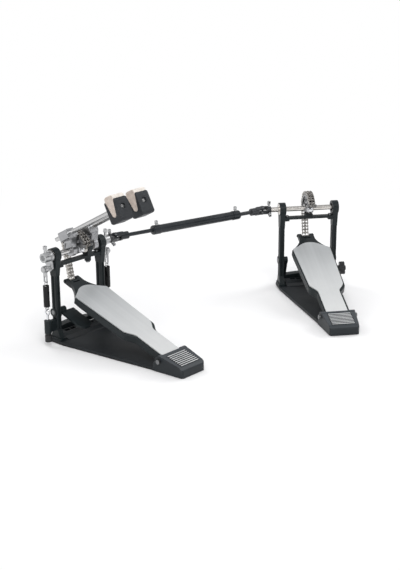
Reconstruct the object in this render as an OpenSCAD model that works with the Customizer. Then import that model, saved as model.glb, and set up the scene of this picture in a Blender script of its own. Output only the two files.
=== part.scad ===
// Double bass drum pedal: a main pedal with two beaters, a telescopic
// linkage and a slave pedal for the other foot.
// Millimetres. X runs along the main axle, +Y points to the drum, Z is up
// and the floor is z = 0. The origin is on the floor under the main axle.

/* [Axles and fits] */
// Height of the axles above the floor
axle_h = 165; // [160:1:175]
// Radius of the axles
axle_r = 5; // [4.6:0.1:5.4]
// Running clearance of shafts and pins, on the radius
run_fit = 0.05; // [0.03:0.01:0.08]
// Clearance of hubs clamped on a shaft, on the radius
seat_fit = 0.02; // [0.01:0.01:0.04]
// Gap between faces that move past each other
side_gap = 0.4; // [0.3:0.05:0.6]
// Outer radius of a ball bearing
bearing_r = 11; // [10:0.5:11.5]
// Width of a post bearing
bearing_w = 6; // [5:0.5:7]

/* [Frame] */
// Distance from the middle of a pedal to the middle of a post
post_x = 54; // [53:0.5:57]
// Width of a post, along the axle
post_w = 10; // [9:0.5:11]
// Depth of a post, towards the drum
post_d = 14; // [12:0.5:15]
// Depth of the flutes down a post
flute_depth = 1.6; // [1:0.1:2.2]
// Outer radius of a bearing housing
housing_r = 13.25; // [12.8:0.05:14]
// Length of a bearing housing
housing_w = 12.5; // [11:0.5:13]
// Distance of the underside of the bridge bar below the axle
bridge_drop = 20; // [19:0.5:24]
// Thickness of the bridge bar
bridge_t = 4.5; // [4:0.5:6]
// Place of the centre bearing along the axle
centre_x = 22; // [21.5:0.1:22.5]
// Length of the centre bearing drum
centre_w = 10; // [9:0.5:11]
// Outer radius of the centre bearing drum
centre_r = 13; // [12.5:0.1:13.4]
// Thickness of the rubber mat
mat_t = 3; // [2:0.5:4]
// Thickness of the base plate
plate_t = 4; // [3:0.5:5]
// Half width of the base plate at the posts
base_hw = 62; // [60:1:66]
// Half width of the base plate at the heel
base_heel_hw = 34; // [32:1:36]
// Front edge of the hoop lip
lip_y = 30; // [26:1:34]
// Height of the cross rib that stops the drum hoop
stop_h = 9; // [6:1:11]

/* [Heel] */
// Distance of the heel hinge behind the axle
heel_y = 235; // [225:1:245]
// Height of the heel hinge pin
heel_z = 20.3; // [19.5:0.1:21.5]
// Radius of the heel hinge pin
heel_pin_r = 3; // [2.5:0.1:3.4]
// Length of the heel block
heel_len = 64; // [62:1:70]
// Height of the back edge of the heel block
heel_back_h = 15; // [13:0.5:17]
// Number of ribs on the heel grip
grip_ribs = 8; // [5:1:10]

/* [Footboard] */
// Half width of the deck between heel and waist
deck_heel_hw = 23; // [22:0.5:24]
// Half width of the deck at its widest
deck_hw = 40; // [38:0.5:42]
// Half width of the toe neck
neck_hw = 16; // [15:0.5:18]
// Half width of the gap for the chain in the toe
toe_gap_hw = 8.5; // [8:0.1:9]
// Depth of the gap behind the toe pin
toe_gap_depth = 6; // [5.5:0.1:8]
// Radius of the lobes round the toe pin
toe_r = 4; // [3.6:0.1:5]
// Thickness of the deck
deck_t = 5; // [4:0.5:6]
// Depth of the skirts under the deck
skirt_h = 7; // [5:0.5:7.5]
// Wall of the skirts and ribs
skirt_w = 3; // [2:0.5:4]
// Thickness of the silver foot plate
foot_plate_t = 2; // [1.5:0.5:3]
// Margin of the black frame round the foot plate
plate_margin = 2.5; // [2:0.25:3]

/* [Cam and chain] */
// Outer radius of the cam rim
cam_r = 28; // [26:0.1:28.4]
// Width of the cam rim
cam_w = 13; // [11:0.5:13]
// Pitch of the chain
pitch = 6.35; // [6.3:0.01:6.4]
// Half height of a chain link plate
link_h = 2.95; // [2.7:0.05:3]
// Thickness of a chain link plate
link_t = 0.8; // [0.7:0.05:0.8]
// Radius of a chain pin
chain_pin_r = 1.15; // [1:0.05:1.2]
// Radius of a chain roller
roller_r = 1.65; // [1.5:0.05:1.8]
// Links that lie on the cam
links_on_cam = 10; // [8:1:10]
// Links in the stretch that leaves the cam
links_leaving = 3; // [3:2:3]
// Links in the stretch that hangs to the toe
links_hanging = 11; // [9:2:11]
// Angle round the cam at which the chain leaves it
leave_angle = 42.6; // [40:0.1:44]
// Tilt of the leaving stretch from the vertical
leave_tilt = 29.6; // [28:0.1:31]
// Tilt of the hanging stretch from the vertical
hang_tilt = -11.8; // [-13:0.1:-11]

/* [Beaters] */
// Lean of the beaters behind the vertical at rest
beater_lean = 61.6; // [58:0.2:64]
// Radius of a beater rod
rod_r = 4; // [3.5:0.1:4.5]
// Offset of a rod in front of the axle
rod_offset = 26; // [25:0.5:28]
// Reach of a rod from the axle
rod_reach = 188; // [170:1:200]
// Distance of the middle of the beater head below the end of its rod
head_inset = 12; // [11:0.5:16]
// Width of a beater head
head_w = 28; // [24:1:30]
// Height of a beater head, along the rod
head_h = 28; // [24:1:32]
// Length of a beater head, in the striking direction
head_len = 45; // [38:1:47]
// Place of the left beater along the axle
left_beater_x = -30; // [-31:0.5:-29]
// Place of the right beater along the axle
right_beater_x = 20; // [19.5:0.5:20.5]

/* [Springs] */
// Distance of a spring from the middle, left side
left_spring_x = 76; // [75.5:0.1:77]
// Distance of a spring from the middle, right side
right_spring_x = 71; // [70.5:0.1:71.2]
// Crank radius that stretches a spring
crank_r = 21; // [20:0.5:22]
// Radius of a crank pin
crank_pin_r = 3; // [2.5:0.1:3.2]
// Outer radius of a spring
spring_r = 4.6; // [4.2:0.1:4.8]
// Radius of the spring wire
wire_r = 0.8; // [0.6:0.05:0.9]
// Turns of a spring
spring_turns = 13; // [10:1:15]
// Outer radius of a spring sleeve
sleeve_r = 5.6; // [5.5:0.1:6.5]
// Radius of a tension rod
tension_r = 2; // [1.8:0.1:2.4]
// Radius of a tension knob
knob_r = 6.3; // [5.5:0.1:7]

/* [Linkage] */
// Distance of the main joint cross from the middle of the main pedal
cross_x = 94; // [93:0.5:96]
// Distance between the two joint crosses
link_len = 334; // [320:1:350]
// Angle of the linkage back from the main axle line
link_yaw = 14.64; // [10:0.1:18]
// Angle of the slave pedal, turned inwards
slave_yaw = 38.07; // [34:0.1:42]
// Distance of the slave joint cross from the middle of the slave pedal
slave_cross_x = 95; // [94:0.5:97]
// Outer radius of the linkage tube
tube_r = 8.2; // [7.5:0.1:9.5]
// Length of the linkage tube
tube_len = 198; // [180:1:200]
// Radius of the linkage rods
link_rod_r = 3.7; // [3.4:0.1:4.5]
// Length of the slave rod inside and outside the tube
slave_rod_len = 180; // [170:1:186]
// Radius of the joint cross pins
trunnion_r = 2.1; // [1.8:0.1:2.4]
// Clearance at the open pins of the joint crosses
open_fit = 0.2; // [0.15:0.01:0.3]

/* [Hoop clamp] */
// Height of the clamp lever pivot
clamp_z = 58; // [56:0.5:59]
// Radius of the clamp pivot pins
clamp_pin_r = 4; // [3.5:0.1:4.5]
// Slope of the clamp paddle
paddle_slope = 18.4; // [17:0.2:22]
// Width of the clamp paddle
paddle_w = 30; // [26:1:31]
// Gap for the drum hoop at rest
hoop_gap = 7; // [5:0.5:9]
// Height of the clamp wing bolt
wing_z = 38; // [36:0.5:40]
// Radius of the wing bolt shank
wing_shank_r = 3; // [2.5:0.1:3.4]

/* [Hidden] */
$fn = 48;

charcoal = [0.20, 0.22, 0.23];
rubber = [0.10, 0.10, 0.11];
nickel = [0.72, 0.73, 0.75];
steel = [0.80, 0.80, 0.80];
dark_steel = [0.42, 0.43, 0.46];
silver = [0.80, 0.82, 0.84];
felt = [0.84, 0.78, 0.72];

base_top = mat_t + plate_t;
post_in = post_x - post_w / 2;
post_out = post_x + post_w / 2;
housing_in = post_x - housing_w / 2;
housing_out = post_x + housing_w / 2;
crank_z = axle_h - crank_r;
coil_top = crank_z - 32;
coil_bottom = coil_top - 36;
eye_z = coil_bottom - 12;
bridge_z = axle_h - bridge_drop;
bridge_top = bridge_z + bridge_t;
bridge_y0 = -9;
bridge_y1 = 4;
rest_len = 9;
rest_h = 3.5;
bridge_screw_x = post_in - 5;
bridge_screw_y = (bridge_y0 + bridge_y1) / 2;
shaft_hole_r = axle_r + 3;
eps = 0.01;

// Bar along X between two places, round the point (y, z)
module bar_x(x0, x1, r, y = 0, z = 0) {
    translate([min(x0, x1), y, z])
        rotate([0, 90, 0])
            cylinder(r = r, h = abs(x1 - x0));
}

// Outline drawn in (Y, Z), carried along X between two places
module along_x(x0, x1) {
    translate([min(x0, x1), 0, 0])
        rotate([90, 0, 90])
            linear_extrude(abs(x1 - x0))
                children();
}

// Lowest and highest of two values, for blocks on either side
function span(a, b) = [min(a, b), max(a, b)];

// Upright block between two corners
module block(x, y, z) {
    translate([x[0], y[0], z[0]])
        cube([x[1] - x[0], y[1] - y[0], z[1] - z[0]]);
}

// Rectangle with round corners, from its centre
module round_rect(w, h, r) {
    square([w - 2 * r, h], center = true);
    square([w, h - 2 * r], center = true);
    for (x = [-1, 1], y = [-1, 1])
        translate([x * (w / 2 - r), y * (h / 2 - r)])
            circle(r, $fn = 24);
}

// Two discs at the ends of a straight band, for arms and link plates
module link_outline(p, q, rp, rq, waist) {
    dir = q - p;
    turn = atan2(dir[1], dir[0]);
    translate(p) circle(rp);
    translate(q) circle(rq);
    translate(p)
        rotate(turn)
            translate([0, -waist])
                square([norm(dir), 2 * waist]);
}

// Both sides of an outline given by its right half, heel to toe
function both_sides(half) = concat(half, [for (i = [len(half) - 1:-1:0]) [-half[i][0], half[i][1]]]);

// The slave pedal stands beside the main one, turned inwards
link_dir = [cos(link_yaw), -sin(link_yaw), 0];
slave_cross_pos = [cross_x, 0, axle_h] + link_len * link_dir;
slave_pos = [slave_cross_pos[0] + slave_cross_x * cos(slave_yaw),
             slave_cross_pos[1] - slave_cross_x * sin(slave_yaw), 0];

module at_slave() {
    translate(slave_pos)
        rotate([0, 0, -slave_yaw])
            children();
}

// Base plate, mat and hoop stop
waist_y = -19;
plate_front = 16;
tongue_hw = 24;
tongue_end = -heel_y - 27;
heel_front = -heel_y + 14;

module base_outline(inset) {
    corner = 6 - inset / 2;
    polygon([
        [-base_hw + inset, plate_front - inset - corner], [-base_hw + inset, waist_y],
        [-base_heel_hw + inset, heel_front + inset], [base_heel_hw - inset, heel_front + inset],
        [base_hw - inset, waist_y], [base_hw - inset, plate_front - inset - corner],
        [base_hw - inset - corner, plate_front - inset], [-base_hw + inset + corner, plate_front - inset]
    ]);
    for (side = [-1, 1])
        translate([side * (base_hw - inset - corner), plate_front - inset - corner])
            circle(corner);
}

module base_plate() {
    lip_hw = 42;
    stop_hw = post_in - 3.5;
    translate([0, 0, mat_t])
        linear_extrude(plate_t) {
            base_outline(0);
            translate([0, (lip_y + plate_front - 12) / 2])
                round_rect(2 * lip_hw, lip_y - plate_front + 12, 6);
            translate([-tongue_hw, tongue_end])
                square([2 * tongue_hw, heel_front - tongue_end + 1]);
        }
    difference() {
        along_x(-stop_hw, stop_hw)
            polygon([
                [-22, base_top - eps], [11, base_top - eps], [11, base_top + stop_h - 2],
                [9, base_top + stop_h], [-3, base_top + stop_h], [-9, base_top + 4], [-20, base_top + 1.5]
            ]);
        for (side = [-1, 1])
            block([side * 22 - 12, side * 22 + 12], [-1, 7], [base_top + 2, base_top + stop_h + 1]);
    }
    for (side = [-1, 1])
        along_x(side * 22 - 1.2, side * 22 + 1.2)
            polygon([[-2, base_top], [8, base_top], [8, base_top + stop_h], [-2, base_top + stop_h]]);
}

// Rubber mat under the plate and the pad under the heel block
heel_pad_y = -heel_y - 32;
module base_mat() {
    linear_extrude(mat_t) base_outline(2);
    translate([0, heel_pad_y, 0])
        linear_extrude(mat_t)
            round_rect(44, 26, 4);
}

// Posts: fluted columns with bearing housings, clamp bosses and feet
clamp_y = 3;
wing_y = -10.5;
boss_r = 6.5;
boss_z0 = 24;
boss_z1 = eye_z - 16;

module post_column() {
    difference() {
        round_rect(post_w, post_d, 1.5);
        for (side = [-1, 1]) {
            translate([side * post_w / 2, 0]) square([2 * flute_depth, post_d * 0.34], center = true);
            translate([0, side * post_d / 2]) square([post_w * 0.36, 2 * flute_depth], center = true);
        }
    }
}

module post(side, spring_x) {
    x = side * post_x;
    difference() {
        union() {
            translate([x, 0, base_top]) linear_extrude(axle_h - base_top) post_column();
            bar_x(side * housing_in, side * housing_out, housing_r, 0, axle_h);
            along_x(side * post_in, side * post_out) {
                polygon([
                    [-post_d / 2, axle_h - 38], [post_d / 2, axle_h - 38],
                    [housing_r - 1.2, axle_h - 5], [1.2 - housing_r, axle_h - 5]
                ]);
                polygon([
                    [-13, base_top], [12, base_top], [12, base_top + 4],
                    [post_d / 2, base_top + 18], [-post_d / 2, base_top + 18], [-13, base_top + 4]
                ]);
            }
            translate([x, -1, base_top]) linear_extrude(4) round_rect(post_w + 4, 30, 3);
            bar_x(side * post_in, side * (post_out + 1.2), clamp_pin_r + 3.6, clamp_y, clamp_z);
            block(span(side * (post_in - rest_len), side * (post_in + 1)),
                  [bridge_y0 + 1, bridge_y1 - 1], [bridge_z - rest_h, bridge_z]);
            if (side > 0)
                bar_x(post_in, post_out + 1.5, wing_shank_r + 3.4, wing_y, wing_z);
            if (spring_x > 0) {
                block(span(side * post_x, side * spring_x),
                      [-4, 4], [boss_z0 + 2, boss_z1 - 2]);
                translate([side * spring_x, 0, boss_z0]) cylinder(r = boss_r, h = boss_z1 - boss_z0);
            }
        }
        bar_x(side * (housing_in - 1), side * (housing_out + 1), shaft_hole_r, 0, axle_h);
        bar_x(side * (housing_out - bearing_w), side * (housing_out + 1), bearing_r, 0, axle_h);
        bar_x(side * (post_in - 1), side * (post_out + 3), clamp_pin_r + seat_fit, clamp_y, clamp_z);
        if (side > 0)
            bar_x(post_in - 1, post_out + 3, wing_shank_r + run_fit, wing_y, wing_z);
        if (spring_x > 0)
            translate([side * spring_x, 0, boss_z0 - 1])
                cylinder(r = tension_r + seat_fit, h = boss_z1 - boss_z0 + 2);
        translate([side * bridge_screw_x, bridge_screw_y, bridge_z - rest_h - 1])
            cylinder(r = 2 + seat_fit, h = rest_h + 2);
    }
}

// Bridge bar; the main one carries the centre bearing drum, the slave one a saddle
module bridge_bar() {
    difference() {
        block([-post_in, post_in], [bridge_y0, bridge_y1], [bridge_z, bridge_top]);
        for (side = [-1, 1])
            translate([side * bridge_screw_x, bridge_screw_y, bridge_z - 1])
                cylinder(r = 2 + seat_fit, h = bridge_t + 2);
    }
}

centre_x0 = centre_x - centre_w / 2;
centre_x1 = centre_x + centre_w / 2;
centre_web = 1.2;
centre_bearing_w = (centre_w - centre_web) / 2;

module main_bridge_form() {
    difference() {
        union() {
            bridge_bar();
            bar_x(centre_x0, centre_x1, centre_r, 0, axle_h);
            along_x(centre_x0, centre_x1)
                polygon([
                    [bridge_y0, bridge_top - eps], [bridge_y1, bridge_top - eps],
                    [centre_r - 2, axle_h - 6], [2 - centre_r, axle_h - 6]
                ]);
            translate([centre_x, -3, bridge_z - 7]) cylinder(r = 6, h = 7 + eps);
        }
        bar_x(centre_x0 - 1, centre_x1 + 1, shaft_hole_r, 0, axle_h);
        bar_x(centre_x0 - 1, centre_x0 + centre_bearing_w, bearing_r, 0, axle_h);
        bar_x(centre_x1 - centre_bearing_w, centre_x1 + 1, bearing_r, 0, axle_h);
    }
}

cam_hub_r = 9.5;
module slave_bridge_form() {
    bridge_bar();
    difference() {
        along_x(-8, 8)
            polygon([
                [bridge_y0 + 1, bridge_top - eps], [bridge_y1 - 1, bridge_top - eps],
                [bridge_y1 - 2, bridge_top + 5], [bridge_y0 + 2, bridge_top + 5]
            ]);
        bar_x(-9, 9, cam_hub_r + 1, 0, axle_h);
    }
}

// Sealed ball bearing, with a shield groove in each face
module bearing(x0, w) {
    translate([x0, 0, axle_h])
        rotate([0, 90, 0])
            rotate_extrude()
                difference() {
                    translate([axle_r + run_fit, 0]) square([bearing_r - axle_r - run_fit, w]);
                    translate([axle_r + 1.8, -0.5]) square([bearing_r - axle_r - 3.4, 1]);
                    translate([axle_r + 1.8, w - 0.5]) square([bearing_r - axle_r - 3.4, 1]);
                }
}

module post_bearings() {
    bearing(-housing_out, bearing_w);
    bearing(housing_out - bearing_w, bearing_w);
}

// Heel block with hinge ears, and its ribbed grip
heel_back = -heel_y + 14 - heel_len;
grip_front_y = -heel_y - 7;
grip_back_y = heel_back + 7;
grip_front_z = heel_z + 8;
grip_back_z = heel_back_h + 4;
grip_slope = atan2(grip_front_z - grip_back_z, grip_front_y - grip_back_y);
grip_hw = 21;
grip_t = 2;
grip_len = 34;
barrel_r = 6.5;
barrel_hw = deck_heel_hw;
ear_in = barrel_hw + side_gap;

module heel_side_outline() {
    polygon([
        [heel_front, 1], [heel_front, heel_z - 5], [-heel_y, heel_z], [grip_front_y, grip_front_z],
        [grip_back_y, grip_back_z], [heel_back + 1.5, heel_back_h], [heel_back, heel_back_h - 3],
        [heel_back, 1]
    ]);
    translate([-heel_y, heel_z]) circle(9.6);
}

module heel_plan_outline() {
    back_hw = base_heel_hw - 6;
    polygon([
        [-base_heel_hw, heel_front], [-back_hw, heel_back + 3], [3 - back_hw, heel_back],
        [back_hw - 3, heel_back], [back_hw, heel_back + 3], [base_heel_hw, heel_front]
    ]);
}

module at_grip() {
    translate([0, (grip_front_y + grip_back_y) / 2, (grip_front_z + grip_back_z) / 2])
        rotate([grip_slope, 0, 0])
            children();
}

module heel_block() {
    difference() {
        intersection() {
            along_x(-base_heel_hw, base_heel_hw) heel_side_outline();
            linear_extrude(40) heel_plan_outline();
        }
        bar_x(-ear_in, ear_in, barrel_r + 0.8, -heel_y, heel_z);
        block([-ear_in, ear_in], [-heel_y, heel_front + 1], [base_top + 2, 40]);
        bar_x(-base_heel_hw - 1, base_heel_hw + 1, heel_pin_r + seat_fit, -heel_y, heel_z);
        block([-tongue_hw - 0.05, tongue_hw + 0.05], [tongue_end - 0.05, heel_front + 1],
              [mat_t - 0.05, base_top + 0.05]);
        translate([0, heel_pad_y, 0]) linear_extrude(mat_t) round_rect(44.1, 26.1, 4);
        at_grip() translate([0, 0, -grip_t]) linear_extrude(grip_t + 3) round_rect(2 * grip_hw, grip_len, 2);
    }
}

module heel_grip() {
    rib_pitch = grip_len / grip_ribs;
    at_grip() {
        translate([0, 0, -grip_t])
            linear_extrude(grip_t)
                round_rect(2 * grip_hw - 0.1, grip_len - 0.1, 2);
        for (i = [0:grip_ribs - 1])
            translate([0, (i - (grip_ribs - 1) / 2) * rib_pitch, 0])
                along_x(1.5 - grip_hw, grip_hw - 1.5)
                    polygon([[-1.3, -0.3], [1.3, -0.3], [0.9, 0.9], [-0.9, 0.9]]);
    }
}

// Screws and pins of a frame: bridge screws, clamp pins and heel pin
module frame_fasteners() {
    for (side = [-1, 1]) {
        translate([side * bridge_screw_x, bridge_screw_y, bridge_z - rest_h + 0.5])
            cylinder(r = 2, h = bridge_t + rest_h - 0.5 + eps);
        translate([side * bridge_screw_x, bridge_screw_y, bridge_top])
            cap_head(3.4, 3);
        bar_x(side * (post_in - 8.5), side * (post_out + 1.2), clamp_pin_r, clamp_y, clamp_z);
    }
    bar_x(-base_heel_hw - 1, base_heel_hw + 1, heel_pin_r, -heel_y, heel_z);
    for (side = [-1, 1])
        bar_x(side * (base_heel_hw + 0.3), side * (base_heel_hw + 2.6), heel_pin_r + 1, -heel_y, heel_z);
}

// Cap screw head with a hexagon socket, standing on z = 0
module cap_head(r, h) {
    difference() {
        cylinder(r = r, h = h);
        translate([0, 0, h / 2]) cylinder(r = r * 0.5, h = h, $fn = 6);
    }
}

// Footboard: black frame and silver foot plate, in the board's own frame
// with its hinge at the origin, Y towards the toe and Z up from the deck
leave_r = cam_r + link_h + 1.15;
leave_pos = [leave_r * cos(leave_angle), axle_h + leave_r * sin(leave_angle)];
hang_pos = leave_pos + links_leaving * pitch * [sin(leave_tilt), -cos(leave_tilt)];
toe_pos = hang_pos + links_hanging * pitch * [sin(hang_tilt), -cos(hang_tilt)];
toe_vec = toe_pos - [-heel_y, heel_z];
board_len = norm(toe_vec);
board_angle = atan2(toe_vec[1], toe_vec[0]);
deck_top = 4;
deck_bottom = deck_top - deck_t;
neck_end = board_len - toe_gap_depth;
slot_s = neck_end - 7;

module at_board() {
    translate([0, -heel_y, heel_z])
        rotate([board_angle, 0, 0])
            children();
}

waist_s = 62;
shoulder_s = 88;
wide_s = board_len - 55.5;
neck_s = board_len - 16.5;

function deck_half(e) = concat(
    [[deck_heel_hw - e, e], [deck_heel_hw - e, waist_s]],
    [for (i = [1:5]) [deck_heel_hw - e + (deck_hw - 4 - deck_heel_hw) * (1 - cos(180 * i / 6)) / 2,
                      waist_s + (shoulder_s - waist_s) * i / 6]],
    [[deck_hw - 4 - e, shoulder_s], [deck_hw - e, wide_s]],
    [for (i = [1:6]) [neck_hw - e + (deck_hw - neck_hw) * pow(1 - i / 6, 1.6),
                      wide_s + (neck_s - wide_s) * i / 6]]
);

module deck_outline(e) {
    polygon(both_sides(deck_half(e)));
}

module footboard_frame() {
    rib_z = deck_bottom - skirt_h + 2;
    at_board()
        difference() {
            union() {
                translate([0, 0, deck_bottom]) linear_extrude(deck_t) deck_outline(0);
                difference() {
                    translate([0, 0, deck_bottom - skirt_h])
                        linear_extrude(skirt_h + eps)
                            difference() {
                                deck_outline(0);
                                deck_outline(skirt_w);
                            }
                    translate([-deck_hw - 1, wide_s - 14, deck_bottom - skirt_h])
                        rotate([6, 0, 0])
                            translate([0, 0, -20]) cube([2 * deck_hw + 2, 90, 20]);
                    block([-deck_heel_hw + skirt_w, deck_heel_hw - skirt_w], [-1, 14],
                          [deck_bottom - skirt_h - 1, deck_bottom]);
                }
                for (side = [-1, 1])
                    block([side * 10 - 1.2, side * 10 + 1.2], [8, wide_s + 14],
                          [rib_z + 2, deck_bottom + eps]);
                for (s = [waist_s, 0.45 * board_len, 0.6 * board_len, wide_s])
                    block([1 - deck_heel_hw, deck_heel_hw - 1], [s - 1.2, s + 1.2],
                          [rib_z, deck_bottom + eps]);
                bar_x(-barrel_hw, barrel_hw, barrel_r);
                block([-barrel_hw, barrel_hw], [0, 9], [-5, deck_bottom + 1]);
                for (side = [-1, 1]) {
                    block(span(side * neck_hw, side * toe_gap_hw), [neck_s - 1, board_len], [-toe_r, deck_top]);
                    bar_x(side * toe_gap_hw, side * neck_hw, toe_r, board_len, 0);
                    bar_x(side * (toe_gap_hw - 0.9), side * (toe_gap_hw + 1), 2.2, board_len, 0);
                    bar_x(side * (neck_hw - 1), side * (neck_hw + 1.5), 2.4, board_len, 0);
                }
                block([-toe_gap_hw - 1, toe_gap_hw + 1], [neck_s - 1, neck_end], [-toe_r, deck_top]);
            }
            bar_x(-barrel_hw - 1, barrel_hw + 1, heel_pin_r + run_fit);
            block([-7.5, 7.5], [slot_s - 1.6, slot_s + 1.6], [-12, deck_top + 1]);
        }
}

// Half outline of the silver plate, heel to toe
plate_wide_s = wide_s + 2;
plate_arc_r = 30;
plate_arc_s = wide_s - 7;
plate_arc_start = 45;
function foot_plate_half() = concat(
    [[deck_heel_hw - plate_margin, 6], [deck_heel_hw - plate_margin, waist_s + 6]],
    [for (i = [1:5]) [deck_heel_hw - plate_margin
                      + (deck_hw - 4 - deck_heel_hw) * (1 - cos(180 * i / 6)) / 2,
                      waist_s + 6 + (shoulder_s - waist_s) * i / 6]],
    [[deck_hw - 4 - plate_margin, shoulder_s + 6], [deck_hw - 2, plate_wide_s]],
    [for (i = [0:6]) [plate_arc_r * cos(plate_arc_start + (90 - plate_arc_start) * i / 6),
                      plate_arc_s + plate_arc_r * sin(plate_arc_start + (90 - plate_arc_start) * i / 6)]]
);

module footboard_plate() {
    at_board()
        translate([0, 0, deck_top])
            linear_extrude(foot_plate_t)
                polygon(both_sides(foot_plate_half()));
}

// Cam: hub, web and rim that carries the chain
rim_t = 4;
cam_low = -12;
cam_hub_hw = 8.6;
chain_hw = 6.5;
chain_r = cam_r + link_h + 0.55;
link_step = 2 * asin(pitch / 2 / chain_r);
first_step = 2 * asin(pitch / 2 / (chain_r + 0.3));
anchor_angle = leave_angle + first_step + (links_on_cam - 1) * link_step;
cam_high = anchor_angle + 5;

function on_cam(a, r) = [r * cos(a), r * sin(a)];

module cam_sector(r) {
    intersection() {
        circle(r, $fn = 96);
        polygon([
            [0, 0], on_cam(cam_low, 2 * r), on_cam((cam_low + 60) / 2, 2 * r), on_cam(60, 2 * r),
            on_cam(100, 2 * r), on_cam((100 + cam_high) / 2, 2 * r), on_cam(cam_high, 2 * r)
        ]);
    }
}

module cam() {
    anchor = on_cam(anchor_angle, chain_r);
    translate([0, 0, axle_h])
        difference() {
            union() {
                bar_x(-cam_hub_hw, cam_hub_hw, cam_hub_r);
                along_x(-4, 4) cam_sector(cam_r - 1);
                along_x(-cam_w / 2, cam_w / 2)
                    difference() {
                        cam_sector(cam_r);
                        circle(cam_r - rim_t);
                    }
                for (side = [-1, 1])
                    along_x(side * (chain_hw + 0.9), side * (chain_hw + 2.9))
                        link_outline(on_cam(anchor_angle - 2, cam_r - 3), anchor, 3, 2.6, 2.6);
                for (side = [-1, 1])
                    along_x(side * (cam_w / 2 - 1), side * (chain_hw + 2.9))
                        translate(on_cam(anchor_angle - 2, cam_r - 3)) circle(2.4);
                block([-5, 5], [-cam_hub_r - 4, -cam_hub_r + 2], [-4.4, 4.4]);
                translate([0, -cam_hub_r - 4, 0]) rotate([90, 0, 0]) cap_head(3.2, 2.5);
            }
            bar_x(-cam_hub_hw - 1, cam_hub_hw + 1, axle_r + seat_fit);
            bar_x(-20, 20, chain_pin_r + seat_fit, anchor[0], anchor[1]);
            for (a = [18, 52, 86, 120])
                bar_x(-5, 5, 3.6, 17 * cos(a), 17 * sin(a));
        }
}

// Duplex roller chain: pins, rollers and plates along a list of pin places
module link_plates(p, q, xs) {
    for (x = xs)
        along_x(x - link_t / 2, x + link_t / 2)
            link_outline(p, q, link_h, link_h, link_h * 0.72);
}

inner_x = [-5.2, -1.2, 1.2, 5.2];
outer_x = [-6.1, 0, 6.1];

// The first link of a stretch is outer where outer_first is 1; bored ends have no pin
module chain(points, outer_first, bored_start, bored_end) {
    last = len(points) - 1;
    difference() {
        union() {
            for (i = [0:last]) {
                for (side = [-1, 1])
                    if (!(i == 0 && outer_first == 1)
                        && !(i == last && !bored_end && (last + outer_first) % 2 == 0))
                        bar_x(side * 1.3, side * 5.1, roller_r, points[i][0], points[i][1]);
                if (!(i == 0 && bored_start) && !(i == last && bored_end))
                    bar_x(-chain_hw - 0.5, chain_hw + 0.5, chain_pin_r, points[i][0], points[i][1]);
            }
            for (i = [0:last - 1])
                link_plates(points[i], points[i + 1], (i + outer_first) % 2 == 1 ? outer_x : inner_x);
        }
        if (bored_start)
            bar_x(-chain_hw, chain_hw, chain_pin_r + run_fit, points[0][0], points[0][1]);
        if (bored_end)
            bar_x(-chain_hw, chain_hw, chain_pin_r + run_fit, points[last][0], points[last][1]);
    }
}

function cam_pin(i) = i == 0 ? [0, axle_h] + on_cam(leave_angle, leave_r)
    : [0, axle_h] + on_cam(leave_angle + first_step + (i - 1) * link_step, chain_r);

module chain_on_cam() {
    chain([for (i = [0:links_on_cam]) cam_pin(i)], 1, false, false);
    bar_x(-chain_hw - 2.9, chain_hw + 2.9, chain_pin_r, cam_pin(links_on_cam)[0], cam_pin(links_on_cam)[1]);
}

module chain_leaving() {
    step = (hang_pos - leave_pos) / links_leaving;
    chain([for (i = [0:links_leaving]) leave_pos + i * step], 0, true, true);
}

module chain_hanging() {
    step = (toe_pos - hang_pos) / links_hanging;
    chain([for (i = [0:links_hanging]) hang_pos + i * step], 1, false, false);
}

// Beaters: the local frame has Z along the rod and Y in the striking direction
module at_beater() {
    translate([0, 0, axle_h])
        rotate([beater_lean, 0, 0])
            children();
}

holder_top = 36;
holder_foot = 11;
holder_y0 = 16;
holder_y1 = 34;
holder_hub_r = 11;
key_y = 23;
key_z = 24;
key_r = 3;

module beater_holder(rod_x, hub_x0, hub_x1, key_head_x) {
    side = sign(hub_x0 - rod_x);
    block_x0 = rod_x - side * 8.5;
    block_x1 = rod_x + side * 9.5;
    at_beater() {
        difference() {
            union() {
                bar_x(hub_x0, hub_x1, holder_hub_r);
                translate([(block_x0 + block_x1) / 2, (holder_y0 + holder_y1) / 2, holder_foot])
                    linear_extrude(holder_top - holder_foot)
                        round_rect(abs(block_x1 - block_x0), holder_y1 - holder_y0, 2.5);
                along_x(block_x1 - side * 2, hub_x1)
                    polygon([
                        [-9, -6], [9, -6], [holder_y1 - 5, holder_foot - 2], [holder_y1 - 2, holder_foot + 4],
                        [holder_y0 + 3, holder_foot + 12], [2, 10.8]
                    ]);
            }
            bar_x(hub_x0 - side * 20, hub_x1 + side * 1, axle_r + seat_fit);
            bar_x(hub_x0, block_x0 - side * 1, centre_r + 1.2);
            translate([rod_x, rod_offset, -1]) cylinder(r = rod_r + run_fit, h = holder_top + 2);
            bar_x(rod_x, block_x1 + side * 1, key_r + seat_fit, key_y, key_z);
        }
        bar_x(rod_x + side * (rod_r + 0.4), key_head_x, key_r, key_y, key_z);
        translate([key_head_x, key_y, key_z])
            rotate([0, side * 90, 0])
                linear_extrude(5.5)
                    round_rect(8, 8, 1);
    }
}

module beater_rod(rod_x) {
    at_beater()
        translate([rod_x, rod_offset, 0]) {
            translate([0, 0, -8]) cylinder(r = rod_r, h = rod_reach + 7);
            translate([0, 0, rod_reach - 1]) cylinder(r1 = rod_r, r2 = rod_r - 1, h = 1);
        }
}

head_reach = rod_reach - head_inset;
head_back = rod_offset - head_len / 2 - 2;
head_front = head_back + head_len;
felt_tip_r = 6;
felt_tip_y = head_back + 16;
felt_front = head_front + 3;

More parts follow.
